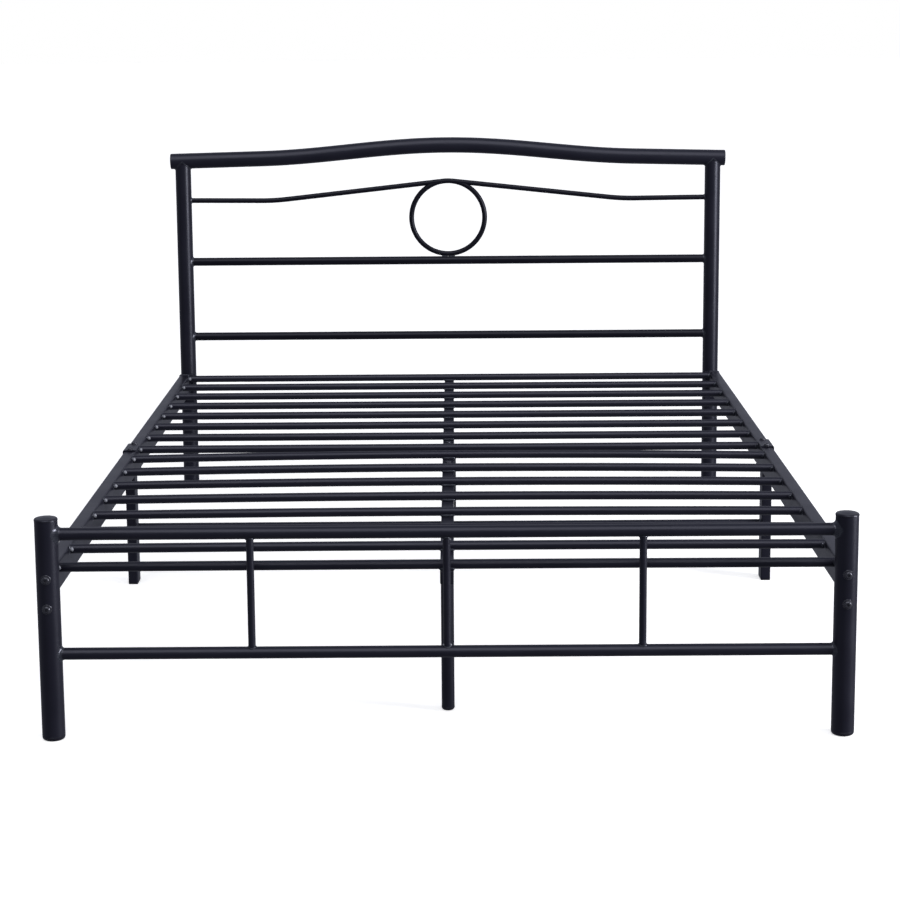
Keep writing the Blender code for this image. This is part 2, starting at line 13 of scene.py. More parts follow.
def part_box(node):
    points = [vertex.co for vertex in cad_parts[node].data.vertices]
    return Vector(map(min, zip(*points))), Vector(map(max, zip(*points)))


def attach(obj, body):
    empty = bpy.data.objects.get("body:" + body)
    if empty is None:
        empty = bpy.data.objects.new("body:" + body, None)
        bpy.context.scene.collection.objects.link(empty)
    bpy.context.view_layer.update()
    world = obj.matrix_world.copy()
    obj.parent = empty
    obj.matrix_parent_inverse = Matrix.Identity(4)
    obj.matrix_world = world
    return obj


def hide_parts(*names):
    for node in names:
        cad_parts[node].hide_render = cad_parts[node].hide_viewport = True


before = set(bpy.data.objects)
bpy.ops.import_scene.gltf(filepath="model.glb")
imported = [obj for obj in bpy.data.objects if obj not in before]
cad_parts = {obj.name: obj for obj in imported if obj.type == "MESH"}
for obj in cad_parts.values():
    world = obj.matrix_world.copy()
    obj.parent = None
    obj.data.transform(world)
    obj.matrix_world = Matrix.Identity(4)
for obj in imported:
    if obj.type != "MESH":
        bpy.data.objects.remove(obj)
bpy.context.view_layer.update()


# ---------------------------------------------------------------- places and sizes


def middle(node):
    low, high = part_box(node)
    return (low + high) / 2


def extent(node):
    low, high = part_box(node)
    return high - low


SIDES = {"left": -1, "right": 1}
ENDS = {"foot": -1, "head": 1}

# Places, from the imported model.
POST_X = middle("footboard_post_right").x
POST_RADIUS = extent("footboard_post_right").x / 2
FOOT_Y = middle("footboard_post_right").y
HEAD_Y = middle("headboard_post_right").y
POST_YS = {"foot": FOOT_Y, "head": HEAD_Y}
POST_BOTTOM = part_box("footboard_post_right")[0].z
FOOT_POST_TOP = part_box("footboard_post_right")[1].z
FOOT_RAIL_Z = middle("footboard_top_rail").z
FOOT_BAR_Z = middle("footboard_low_bar").z
MID_BAR_Z = middle("headboard_mid_bar").z
LOW_BAR_Z = middle("headboard_low_bar").z
SPINDLE_X = middle("footboard_spindle_right").x
RING_Z = middle("scroll_ring").z
SLAT_Z = middle("slat_01").z
RAIL_OUTER_X = 0.7055
BRACKET_LOW, BRACKET_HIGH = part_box("joint_bracket_right")
JOINT_Y = middle("joint_bracket_right").y
CENTRE_SPLIT_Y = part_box("centre_rail_foot")[1].y

GAP = 0.0003  # between pieces that touch

# Sections of the tubes and rods.
BAR_RADIUS = extent("headboard_mid_bar").z / 2
FOOT_RAIL_RADIUS = 0.011
ROD_RADIUS = extent("scroll_ring").y / 2
SLAT_RADIUS = extent("slat_01").z / 2
RING_MAJOR = extent("scroll_ring").x / 2 - ROD_RADIUS
RAIL_WIDTH = 0.0265
RAIL_HEIGHT = 0.051
RAIL_TOP = 0.2977
RAIL_MIDDLE_Z = RAIL_TOP - RAIL_HEIGHT / 2
RAIL_CORNER = 0.0035
RAIL_INNER_X = RAIL_OUTER_X - RAIL_WIDTH
CENTRE_WIDTH = 0.024
PLATE_THICKNESS = 0.004
PLATE_WIDTH = 0.032
PLATE_X = POST_X + 0.001
PLATE_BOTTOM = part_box("side_rail_foot_right")[0].z
TUBE_WALL = 0.0014
SQUARE_CORNER = 0.0025  # outer corners of the centre rail and of the middle legs
PLUG_RADIUS = POST_RADIUS - 0.0018  # what pushes into a post or into the top rail
PLUG_DEPTH = 0.012
STRETCHER_END_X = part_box("middle_leg_stretcher")[1].x + GAP
BAR_END_X = POST_X - POST_RADIUS + 0.003  # a bar's end, just inside the round of the post
TIP = 0.0004  # a turned shape starts this far from its axis
POST_SIDES, BAR_SIDES, ROD_SIDES, SLAT_SIDES, LEG_SIDES = 48, 32, 24, 28, 36

# The splice of the centre rail's two halves.
LAP_REACH = 0.120
LAP_PLATE = 0.003
SPLICE_BOLT_YS = (-0.088, 0.143)

# The top rail: a half wave down from the crest, then straight to the end.
ARCH_CREST_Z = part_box("headboard_top_rail")[1].z - POST_RADIUS
ARCH_DROP = 0.0325
ARCH_HALF_WAVE = 0.52
ARCH_END_SLOPE = 0.024
TOP_RAIL_END_X = 0.7145

# The scroll rods: level from the post, a gentle bend, then straight up to the ring.
SCROLL_POST_Z = 0.7529
SCROLL_BEND_X = 0.450
SCROLL_BEND_Z = 0.7508
SCROLL_BEND_HALF = 0.035
SCROLL_SLOPE = 0.1095
SCROLL_INNER_X = 0.020
SCROLL_TOUCH_Z = RING_Z + RING_MAJOR - 0.0004  # the rods' axes run no higher than the ring's crest

# The slats of the foot half rise in the middle, most at the joint.
SLAT_YS = [middle(f"slat_{number:02d}").y for number in range(1, 17)]
CROWN_AT_MIDDLE = 0.0062
CROWN_AT_FOOT = 0.0008

# Bolts and screws.
BOLT_ZS = (0.2375, 0.2895)
JOINT_SCREW_X = 0.6925
JOINT_SCREW_SPACING = 0.062
SOCKET_RADIUS = 0.0025
HEAD_SIDES = 36


def arch_z(x):
    """Height of the top rail's axis."""
    peak_slope = ARCH_DROP * math.pi / (2 * ARCH_HALF_WAVE)
    turn_x = ARCH_HALF_WAVE * (1 - math.asin(ARCH_END_SLOPE / peak_slope) / math.pi)
    wave_x = min(abs(x), turn_x)
    drop = ARCH_DROP * (1 - math.cos(math.pi * wave_x / ARCH_HALF_WAVE)) / 2
    return ARCH_CREST_Z - drop - ARCH_END_SLOPE * (abs(x) - wave_x)


def scroll_z(x):
    """Height of a scroll rod's axis at a distance x from the bed's middle."""
    outer_slope = (SCROLL_POST_Z - SCROLL_BEND_Z) / (POST_X - SCROLL_BEND_X)
    start, end = SCROLL_BEND_X - SCROLL_BEND_HALF, SCROLL_BEND_X + SCROLL_BEND_HALF
    if x >= end:
        return SCROLL_BEND_Z + outer_slope * (x - SCROLL_BEND_X)
    if x <= start:
        return SCROLL_BEND_Z + SCROLL_SLOPE * (SCROLL_BEND_X - x)
    share = (x - start) / (end - start)
    curvature = (outer_slope + SCROLL_SLOPE) * (end - start) / 2
    rise = SCROLL_SLOPE * SCROLL_BEND_HALF
    return SCROLL_BEND_Z + rise - SCROLL_SLOPE * (x - start) + curvature * share * share


def crown(y):
    """Rise of a slat of the foot half at the middle of the bed."""
    if y > 0:
        return 0.0
    share = (y - SLAT_YS[8]) / (SLAT_YS[15] - SLAT_YS[8])
    return CROWN_AT_MIDDLE + share * (CROWN_AT_FOOT - CROWN_AT_MIDDLE)


# ---------------------------------------------------------------- materials

COAT_TINT = (0.80, 0.82, 1.0, 1)
COAT_DARK, COAT_LIGHT = (0.0090, 0.0090, 0.0165), (0.0115, 0.0115, 0.0205)
# Scale for a darker, duller copy of the powder coat on the headboard's bars, ring and scroll rods: painted
# shade.
SHADED_COAT_FACTOR = 0.55
WELD_DARK, WELD_LIGHT = (0.020, 0.022, 0.030), (0.034, 0.037, 0.048)
# Light tones for the weld tacks: a painted highlight, the light from the right set into their colour.
TACK_HIGHLIGHT_DARK, TACK_HIGHLIGHT_LIGHT = (0.26, 0.27, 0.31), (0.36, 0.37, 0.41)
PLASTIC_DARK, PLASTIC_LIGHT = (0.0100, 0.0100, 0.0160), (0.0135, 0.0135, 0.0210)
BOLT_DARK, BOLT_LIGHT = (0.060, 0.061, 0.078), (0.100, 0.102, 0.125)


def shader_of(name):
    material = bpy.data.materials.new(name)
    material.use_nodes = True
    tree = material.node_tree
    return material, tree, tree.nodes["Principled BSDF"]


def noise_node(tree, coordinates, scale, detail, roughness=0.5):
    node = tree.nodes.new("ShaderNodeTexNoise")
    node.inputs["Scale"].default_value = scale
    node.inputs["Detail"].default_value = detail
    node.inputs["Roughness"].default_value = roughness
    tree.links.new(coordinates, node.inputs["Vector"])
    return node


def ramp_node(tree, factor, stops):
    """A colour ramp from (position, colour) stops."""
    node = tree.nodes.new("ShaderNodeValToRGB")
    ramp = node.color_ramp
    while len(ramp.elements) < len(stops):
        ramp.elements.new(0.5)
    for element, (position, colour) in zip(ramp.elements, stops):
        element.position = position
        element.color = (*colour, 1.0)
    tree.links.new(factor, node.inputs["Fac"])
    return node


def range_node(tree, value, low, high, start=0.3, stop=0.7):
    """Maps start to stop onto low to high, clamped at both ends."""
    node = tree.nodes.new("ShaderNodeMapRange")
    node.inputs["From Min"].default_value = start
    node.inputs["From Max"].default_value = stop
    node.inputs["To Min"].default_value = low
    node.inputs["To Max"].default_value = high
    tree.links.new(value, node.inputs["Value"])
    return node


def bump_node(tree, height, strength, distance, before=None):
    node = tree.nodes.new("ShaderNodeBump")
    node.inputs["Strength"].default_value = strength
    node.inputs["Distance"].default_value = distance
    tree.links.new(height, node.inputs["Height"])
    if before:
        tree.links.new(before.outputs["Normal"], node.inputs["Normal"])
    return node


def join_up(tree, shader, tone, gloss, bump):
    """Feeds the tone, the roughness and the bumps into the shader."""
    tree.links.new(tone.outputs["Color"], shader.inputs["Base Color"])
    tree.links.new(gloss.outputs["Result"], shader.inputs["Roughness"])
    tree.links.new(bump.outputs["Normal"], shader.inputs["Normal"])


def powder_coat(name, painted_shade_factor):
    """Satin black powder coat: a fine orange peel and a slight drift in tone and gloss. The last argument
    scales the tone and the specular level; below 1 it makes a darker, duller copy of the coat, which is
    painted shade.
    """
    material, tree, shader = shader_of(name)
    place = tree.nodes.new("ShaderNodeTexCoord").outputs["Object"]
    drift = noise_node(tree, place, 14, 3)
    peel = noise_node(tree, place, 900, 2)
    grain = noise_node(tree, place, 3200, 1)
    # Below 1 the factor darkens the tone and lowers the shine: painted shade.
    dark, light = [Vector(tone) * painted_shade_factor for tone in (COAT_DARK, COAT_LIGHT)]
    tone = ramp_node(tree, drift.outputs["Fac"], [(0.30, dark), (0.70, light)])
    gloss = range_node(tree, drift.outputs["Fac"], 0.34, 0.40)
    shader.inputs["Specular IOR Level"].default_value = 0.5 * painted_shade_factor
    shader.inputs["Specular Tint"].default_value = COAT_TINT
    coarse = bump_node(tree, peel.outputs["Fac"], 0.35, 0.00025)
    fine = bump_node(tree, grain.outputs["Fac"], 0.15, 0.00008, coarse)
    join_up(tree, shader, tone, gloss, fine)
    return material


def weld_coat(name, dark, light, smooth, rough):
    """The finish of a weld, from its tones and its range of roughness."""
    material, tree, shader = shader_of(name)
    place = tree.nodes.new("ShaderNodeTexCoord").outputs["Object"]
    drift = noise_node(tree, place, 160, 3)
    tone = ramp_node(tree, drift.outputs["Fac"], [(0.30, dark), (0.70, light)])
    gloss = range_node(tree, drift.outputs["Fac"], smooth, rough)
    bump = bump_node(tree, drift.outputs["Fac"], 0.3, 0.0003)
    shader.inputs["Specular IOR Level"].default_value = 0.75
    shader.inputs["Specular Tint"].default_value = COAT_TINT
    join_up(tree, shader, tone, gloss, bump)
    return material


def moulded_plastic():
    """Black moulded polyethylene with a fine spark-eroded grain."""
    material, tree, shader = shader_of("moulded_plastic")
    place = tree.nodes.new("ShaderNodeTexCoord").outputs["Object"]
    grain = noise_node(tree, place, 1600, 3)
    drift = noise_node(tree, place, 40, 2)
    tone = ramp_node(tree, drift.outputs["Fac"], [(0.30, PLASTIC_DARK), (0.70, PLASTIC_LIGHT)])
    gloss = range_node(tree, drift.outputs["Fac"], 0.30, 0.38)
    shader.inputs["Specular Tint"].default_value = COAT_TINT
    bump = bump_node(tree, grain.outputs["Fac"], 0.30, 0.0002)
    join_up(tree, shader, tone, gloss, bump)
    return material


def bolt_steel():
    """Black-plated steel, a little brighter where the plating has rubbed."""
    material, tree, shader = shader_of("bolt_steel")
    place = tree.nodes.new("ShaderNodeTexCoord").outputs["Object"]
    rub = noise_node(tree, place, 350, 3)
    tone = ramp_node(tree, rub.outputs["Fac"], [(0.35, BOLT_DARK), (0.70, BOLT_LIGHT)])
    gloss = range_node(tree, rub.outputs["Fac"], 0.22, 0.34)
    bump = bump_node(tree, rub.outputs["Fac"], 0.2, 0.0001)
    shader.inputs["Metallic"].default_value = 0.6
    join_up(tree, shader, tone, gloss, bump)
    return material


FINISHES = {
    "powder_coat": powder_coat("powder_coat", 1.0),
    "black_plastic": moulded_plastic(),
    "bolt_steel": bolt_steel(),
}
# The darker copy of the coat, with painted shade, for the headboard's bars, ring and rods.
SHADED_POWDER_COAT = powder_coat("shaded_powder_coat", SHADED_COAT_FACTOR)
WELD_COAT = weld_coat("weld_coat", WELD_DARK, WELD_LIGHT, 0.22, 0.34)
# A light weld finish that paints highlights onto the tacks.
PAINTED_HIGHLIGHT_WELD = weld_coat("painted_highlight_weld", TACK_HIGHLIGHT_DARK, TACK_HIGHLIGHT_LIGHT, 0.34, 0.46)


# ---------------------------------------------------------------- mesh building blocks

SHARP_ANGLE = math.radians(35)


def skin(shape, rings, closed=False, capped=True):
    """Joins rings of points into a surface; closed joins the last ring to the first."""
    loops = [[shape.verts.new(point) for point in ring] for ring in rings]
    followers = loops[1:] + loops[:1] if closed else loops[1:]
    for loop, following in zip(loops, followers):
        for index in range(len(loop)):
            shape.faces.new((loop[index - 1], loop[index], following[index], following[index - 1]))
    if capped and not closed:
        shape.faces.new(loops[0])
        shape.faces.new(loops[-1])


def place_in_scene(name, data):
    """A new object in the scene that holds a mesh, a light or a camera."""
    obj = bpy.data.objects.new(name, data)
    bpy.context.scene.collection.objects.link(obj)
    return obj


def piece(name, shape, slot, *nodes):
    """Turns a bmesh into a finished piece that rides on the frame and stands for the nodes."""
    bmesh.ops.recalc_face_normals(shape, faces=shape.faces)
    mesh = bpy.data.meshes.new(name)
    shape.to_mesh(mesh)
    shape.free()
    mesh.materials.append(FINISHES[slot])
    mesh.shade_smooth()
    mesh.set_sharp_from_angle(angle=SHARP_ANGLE)
    obj = place_in_scene(name, mesh)
    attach(obj, "root")
    if nodes:
        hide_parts(*nodes)
    return obj


def coated_piece(name, shape, finish, *nodes):
    """A piece in the powder coat's slot, with a variant of that finish."""
    obj = piece(name, shape, "powder_coat", *nodes)
    obj.data.materials.clear()
    obj.data.materials.append(finish)


def weld_piece(name, shape):
    coated_piece(name, shape, WELD_COAT)


def circle(centre, across, up, radius, sides):
    """A ring of points about the centre, in the plane of two unit vectors."""
    ring = []
    for index in range(sides):
        angle = 2 * math.pi * index / sides
        ring.append(centre + radius * (math.cos(angle) * across + math.sin(angle) * up))
    return ring


def frames_along(points, closed=False):
    """For each point of a path, the two unit vectors across it, turned as little as possible."""
    count = len(points)
    tangents = []
    for index in range(count):
        before = points[index - 1] if closed or index else points[0]
        after = points[(index + 1) % count] if closed or index < count - 1 else points[-1]
        tangents.append((after - before).normalized())
    start = Vector((0, 1, 0)) if abs(tangents[0].y) < 0.9 else Vector((0, 0, 1))
    across = (start - tangents[0] * start.dot(tangents[0])).normalized()
    frames = []
    for tangent in tangents:
        across = (across - tangent * across.dot(tangent)).normalized()
        frames.append((across, tangent.cross(across)))
    return frames


def spread(low, high, spans):
    """Evenly spaced values from low to high."""
    return [low + (high - low) * step / spans for step in range(spans + 1)]


def tube(shape, points, radius, sides, closed=False):
    """A round solid along a path. The radius is a number, or one number for each point."""
    points = [Vector(point) for point in points]
    radii = radius if isinstance(radius, list) else [radius] * len(points)
    frames = frames_along(points, closed)
    rings = [circle(p, a, u, r, sides) for p, (a, u), r in zip(points, frames, radii)]
    skin(shape, rings, closed)


def turned(shape, profile, place, sides):
    """A solid of revolution from (radius, height) points; place moves it from the origin's Z axis."""
    rings = []
    for radius, height in profile:
        flat = circle(Vector((0, 0, height)), Vector((1, 0, 0)), Vector((0, 1, 0)), radius, sides)
        rings.append([place @ point for point in flat])
    skin(shape, rings)


def arc(centre_x, centre_z, radius, start, end, steps):
    """Points on an arc, angles in degrees from +X towards +Z."""
    points = []
    for step in range(steps + 1):
        angle = math.radians(start + (end - start) * step / steps)
        points.append((centre_x + radius * math.cos(angle), centre_z + radius * math.sin(angle)))
    return points


def rounded_rectangle(half_width, half_height, corner, steps=5):
    """The outline of a rectangle with round corners, as (x, z) points about the origin."""
    outline = []
    for quarter, (sign_x, sign_z) in enumerate(((1, 1), (-1, 1), (-1, -1), (1, -1))):
        centre_x, centre_z = sign_x * (half_width - corner), sign_z * (half_height - corner)
        outline += arc(centre_x, centre_z, corner, 90 * quarter, 90 * quarter + 90, steps)
    return outline


def box_tube(shape, start, end, half_width, half_height, corner, axis):
    """A rectangular tube with round corners and a real wall; axis 1 runs along Y, 2 along Z."""
    start, end = Vector(start), Vector(end)
    across = Vector((1, 0, 0))
    up = Vector((0, 0, 1)) if axis == 1 else Vector((0, 1, 0))
    outer = rounded_rectangle(half_width, half_height, corner)
    inner = rounded_rectangle(half_width - TUBE_WALL, half_height - TUBE_WALL, corner - TUBE_WALL)
    chamfer = 0.0003
    lip = (end - start).normalized() * chamfer
    worn = rounded_rectangle(half_width - chamfer, half_height - chamfer, corner - 0.0002)

    def ring(outline, centre):
        return [centre + x * across + z * up for x, z in outline]

    rings = [ring(inner, start), ring(worn, start), ring(outer, start + lip)]
    rings += [ring(outer, end - lip), ring(worn, end), ring(inner, end)]
    skin(shape, rings, closed=True)


def transform_to(location, direction):
    """Moves a shape made about the Z axis so that it points along direction from location."""
    turn = Vector(direction).to_track_quat("Z", "Y").to_matrix().to_4x4()
    return Matrix.Translation(Vector(location)) @ turn


# ---------------------------------------------------------------- weld beads

RIPPLE_PITCH = 0.0030
WELD_SIDES = 10
TACK_RADIUS = 0.0040
TACK_IN, TACK_ASIDE, TACK_UP = 0.0048, 0.0066, 0.0008  # a tack's place from the end of its slat's axis


def bead(shape, points, radius, seed, closed=True):
    """A weld bead along a path: overlapping ripples, with the uneven width of hand welding."""
    points = [Vector(point) for point in points]
    travelled = 0.0
    radii = []
    for index, point in enumerate(points):
        if index:
            travelled += (point - points[index - 1]).length
        ripple = abs(math.sin(math.pi * travelled / RIPPLE_PITCH))
        wander = noise.noise(Vector((travelled * 90, seed, 0)))
        radii.append(radius * (0.90 + 0.10 * ripple + 0.16 * wander))
    if not closed:
        last = len(points) - 1
        radii = [r * math.sqrt(max(1 - (2 * i / last - 1) ** 4, 0.03)) for i, r in enumerate(radii)]
    tube(shape, points, radii, WELD_SIDES, closed)


def fillet(shape, place, bar_radius, size, wall, seed, steps=96, spans=6):
    """A concave weld fillet around a bar where it meets a wall.

    place turns the bar's own frame (Z away from the wall) to the bed's; wall gives the wall's height there,
    from the two places across the bar.
    """
    rings = [[] for _ in range(spans + 1)]
    for index in range(steps):
        angle = 2 * math.pi * index / steps
        ripple = abs(math.sin(angle * bar_radius * math.pi / RIPPLE_PITCH))
        wander = noise.noise(Vector((math.cos(angle) * 1.6, math.sin(angle) * 1.6, seed)))
        width = size * (0.86 + 0.14 * ripple + 0.30 * wander)
        for span, ring in enumerate(rings):
            turn = span / spans * math.pi / 2
            lift, away = width * (1 - math.sin(turn)), width * (1 - math.cos(turn))
            across = (bar_radius + lift) * math.cos(angle)
            along = (bar_radius + lift) * math.sin(angle)
            ring.append(place @ Vector((across, along, wall(across, along) + away)))
    skin(shape, rings, capped=False)


def post_fillet(shape, post_x, y, z, side, bar_radius, size, seed):
    """The fillet where a bar along X meets an upright post."""
    place = Matrix(((0, 0, -side, post_x), (1, 0, 0, y), (0, 1, 0, z), (0, 0, 0, 1)))

    def wall(across, along):
        return math.sqrt(max(POST_RADIUS**2 - across**2, 0))

    fillet(shape, place, bar_radius, size, wall, seed)


def flat_fillet(shape, x, y, z, side, bar_radius, size, seed):
    """The fillet where a bar along X meets a flat wall that faces the bed's middle."""
    place = Matrix(((0, 0, -side, x), (1, 0, 0, y), (0, 1, 0, z), (0, 0, 0, 1)))
    fillet(shape, place, bar_radius, size, lambda across, along: 0.0, seed, steps=64, spans=4)


def tack(shape, centre, radius, seed):
    """A blob of weld metal: a ball that is a little uneven."""
    rows, columns = 10, 16
    rings = []
    for row in range(rows + 1):
        tilt = math.pi * (0.04 + 0.92 * row / rows)
        ring = []
        for column in range(columns):
            angle = 2 * math.pi * column / columns
            flat = math.sin(tilt)
            way = Vector((flat * math.cos(angle), flat * math.sin(angle), math.cos(tilt)))
            size = radius * (1 + 0.10 * noise.noise(way * 1.5 + Vector((seed, 0, 0))))
            ring.append(Vector(centre) + size * way)
        rings.append(ring)
    skin(shape, rings)


# ---------------------------------------------------------------- headboard


def make_top_rail():
    shape = bmesh.new()
    path = [(x, HEAD_Y, arch_z(x)) for x in spread(-TOP_RAIL_END_X, TOP_RAIL_END_X, 96)]
    tube(shape, path, POST_RADIUS, POST_SIDES)
    piece("top_rail_tube", shape, "powder_coat", "headboard_top_rail")


def make_top_rail_cap(side, sign):
    """A push-in cap: a flange with a rounded rim and a low dome."""
    shape = bmesh.new()
    rim, depth = 0.0011, 0.010
    outer = POST_RADIUS - 0.0001
    profile = [(TIP, 0.0030), (0.006, 0.0028), (0.011, 0.0023), (0.0155, 0.0017)]
    profile += arc(outer - rim, GAP + 0.0001, rim, 75, 0, 4)
    profile += [(outer, GAP), (PLUG_RADIUS, GAP), (PLUG_RADIUS, -depth), (TIP, -depth)]
    end = (sign * TOP_RAIL_END_X, HEAD_Y, arch_z(TOP_RAIL_END_X))
    turned(shape, profile, transform_to(end, (sign, 0, -ARCH_END_SLOPE)), POST_SIDES)
    piece(f"top_rail_end_cap_{side}", shape, "black_plastic", f"headboard_rail_cap_{side}")


def make_head_post(side, sign):
    shape = bmesh.new()
    x = sign * POST_X
    top = arch_z(POST_X) - 0.4 * POST_RADIUS
    tube(shape, [(x, HEAD_Y, POST_BOTTOM), (x, HEAD_Y, top)], POST_RADIUS, POST_SIDES)
    piece(f"head_post_{side}", shape, "powder_coat", f"headboard_post_{side}")


def make_head_bar(name, node, z):
    shape = bmesh.new()
    tube(shape, [(-BAR_END_X, HEAD_Y, z), (BAR_END_X, HEAD_Y, z)], BAR_RADIUS, BAR_SIDES)
    # The darker copy of the coat: painted shade.
    coated_piece(name, shape, SHADED_POWDER_COAT, node)


def make_ring():
    shape = bmesh.new()
    centre = Vector((0, HEAD_Y, RING_Z))
    path = circle(centre, Vector((1, 0, 0)), Vector((0, 0, 1)), RING_MAJOR, 128)
    tube(shape, path, ROD_RADIUS, ROD_SIDES, closed=True)
    # The darker copy of the coat: painted shade.
    coated_piece("headboard_ring", shape, SHADED_POWDER_COAT, "scroll_ring")


def make_scroll_rod(side, sign):
    shape = bmesh.new()
    path = []
    for x in spread(SCROLL_INNER_X / 2, BAR_END_X, 90):
        path.append((sign * x, HEAD_Y, min(scroll_z(x), SCROLL_TOUCH_Z)))
    tube(shape, path, ROD_RADIUS, ROD_SIDES)
    # The darker copy of the coat: painted shade.
    coated_piece(f"headboard_scroll_{side}", shape, SHADED_POWDER_COAT, f"scroll_rod_{side}")


def post_top_path(x, steps=72):
    """Where the top of a post meets the underside of the top rail."""
    path = []
    for index in range(steps):
        angle = 2 * math.pi * index / steps
        dx, dy = POST_RADIUS * math.cos(angle), POST_RADIUS * math.sin(angle)
        drop = math.sqrt(max(POST_RADIUS**2 - dy**2, 0))
        path.append((x + dx, HEAD_Y + dy * 0.93, arch_z(x + dx) - drop * 0.97 - 0.0006))
    return path


def ring_foot_path(sign, front):
    """The narrow gap between the ring and the mid bar, on one side of the middle, at the front or back."""
    outer = RING_MAJOR + ROD_RADIUS
    path = []
    for x in spread(sign * 0.001, sign * 0.017, 16):
        rise = outer - math.sqrt(outer**2 - x**2)
        path.append((x, HEAD_Y + front * 0.0028, MID_BAR_Z + BAR_RADIUS + rise / 2))
    return path


def make_headboard_welds():
    shape = bmesh.new()
    for sign in (-1, 1):
        x = sign * POST_X
        for z in (MID_BAR_Z, LOW_BAR_Z):
            post_fillet(shape, x, HEAD_Y, z, sign, BAR_RADIUS, 0.0040, seed=sign + z)
        post_fillet(shape, x, HEAD_Y, scroll_z(POST_X), sign, ROD_RADIUS, 0.0030, seed=sign + 4)
        bead(shape, post_top_path(x), 0.0021, seed=sign + 9)
    for sign in (-1, 1):
        for front in (-1, 1):
            bead(shape, ring_foot_path(sign, front), 0.0022, seed=sign + front, closed=False)
    weld_piece("headboard_welds", shape)


# ---------------------------------------------------------------- footboard


def make_foot_post(side, sign):
    shape = bmesh.new()
    x = sign * POST_X
    tube(shape, [(x, FOOT_Y, POST_BOTTOM), (x, FOOT_Y, FOOT_POST_TOP)], POST_RADIUS, POST_SIDES)
    piece(f"foot_post_{side}", shape, "powder_coat", f"footboard_post_{side}")


def make_foot_post_cap(side, sign):
    """A domed cap with a rounded rim that stands a little proud of the tube."""
    shape = bmesh.new()
    rim = 0.0034
    outer = POST_RADIUS + 0.0005
    profile = [(TIP, 0.0056), (0.005, 0.0054), (0.010, 0.0048), (0.0135, 0.0041)]
    profile += arc(outer - rim, GAP + 0.0004, rim, 72, 0, 6)
    profile += [(outer, GAP), (PLUG_RADIUS, GAP), (PLUG_RADIUS, -PLUG_DEPTH), (TIP, -PLUG_DEPTH)]
    place = Matrix.Translation((sign * POST_X, FOOT_Y, FOOT_POST_TOP))
    turned(shape, profile, place, POST_SIDES)
    piece(f"foot_post_cap_{side}", shape, "black_plastic", f"footboard_post_cap_{side}")


def make_glide(end, side, sign):
    """The plastic foot of a post: a collar against the tube and a rounded sole."""
    shape = bmesh.new()
    sole, plug_top = 0.0052, 0.020
    outer, collar_top = POST_RADIUS - 0.0001, POST_BOTTOM - GAP
    profile = [(TIP, plug_top), (PLUG_RADIUS, plug_top), (PLUG_RADIUS, collar_top)]
    profile += [(outer - 0.0004, collar_top), (outer, collar_top - 0.0005)]
    profile += [*arc(outer - sole, sole, sole, 0, -90, 8), (TIP, 0)]
    turned(shape, profile, Matrix.Translation((sign * POST_X, POST_YS[end], 0)), POST_SIDES)
    piece(f"{end}_post_glide_{side}", shape, "black_plastic", f"{end}board_glide_{side}")


def make_foot_bars():
    for name, node, z, radius in (
        ("footboard_rail", "footboard_top_rail", FOOT_RAIL_Z, FOOT_RAIL_RADIUS),
        ("footboard_bar", "footboard_low_bar", FOOT_BAR_Z, BAR_RADIUS),
    ):
        shape = bmesh.new()
        tube(shape, [(-BAR_END_X, FOOT_Y, z), (BAR_END_X, FOOT_Y, z)], radius, BAR_SIDES)
        piece(name, shape, "powder_coat", node)


def make_spindle(name, x):
    shape = bmesh.new()
    sunk = 0.002
    low, high = FOOT_BAR_Z + BAR_RADIUS - sunk, FOOT_RAIL_Z - FOOT_RAIL_RADIUS + sunk
    tube(shape, [(x, FOOT_Y, low), (x, FOOT_Y, high)], ROD_RADIUS, ROD_SIDES)
    piece(f"spindle_{name}", shape, "powder_coat", f"footboard_spindle_{name}")


def spindle_path(x, z, up, bar_radius, steps=48):
    """Where a spindle meets a bar along X."""
    path = []
    for index in range(steps):
        angle = 2 * math.pi * index / steps
        dx, dy = ROD_RADIUS * math.cos(angle), ROD_RADIUS * math.sin(angle)
        path.append((x + dx, FOOT_Y + dy, z + up * math.sqrt(bar_radius**2 - dy**2)))
    return path


def make_footboard_welds():
    """Fillets at the posts, a bead round each end of each spindle, and tacks on the middle one in a light
    finish that paints their highlights.
    """
    shape = bmesh.new()
    for sign in (-1, 1):
        x = sign * POST_X
        post_fillet(shape, x, FOOT_Y, FOOT_RAIL_Z, sign, FOOT_RAIL_RADIUS, 0.0062, seed=sign)
        post_fillet(shape, x, FOOT_Y, FOOT_BAR_Z, sign, BAR_RADIUS, 0.0042, seed=sign + 3)
    for x in (-SPINDLE_X, 0, SPINDLE_X):
        bead(shape, spindle_path(x, FOOT_BAR_Z, 1, BAR_RADIUS), 0.0016, seed=x)
        bead(shape, spindle_path(x, FOOT_RAIL_Z, -1, FOOT_RAIL_RADIUS), 0.0016, seed=x + 1)
    weld_piece("footboard_welds", shape)
    tacks = bmesh.new()
    for z in (FOOT_BAR_Z + BAR_RADIUS + 0.0018, FOOT_RAIL_Z - FOOT_RAIL_RADIUS - 0.0015):
        for sign in (-1, 1):
            tack(tacks, (sign * 0.0060, FOOT_Y - 0.0020, z), 0.0020, seed=sign + 30 * z)
    # These tacks take the light finish, a painted highlight.
    coated_piece("spindle_tacks", tacks, PAINTED_HIGHLIGHT_WELD)


# ---------------------------------------------------------------- bolts


def socket_ring(height):
    """The hexagon socket's outline about Z, with as many points as the round of the head."""
    ring = []
    for index in range(HEAD_SIDES):
        angle = 2 * math.pi * index / HEAD_SIDES
        off_flat = (angle + math.pi / 6) % (math.pi / 3) - math.pi / 6
        radius = SOCKET_RADIUS / math.cos(off_flat)
        ring.append(Vector((radius * math.cos(angle), radius * math.sin(angle), height)))
    return ring


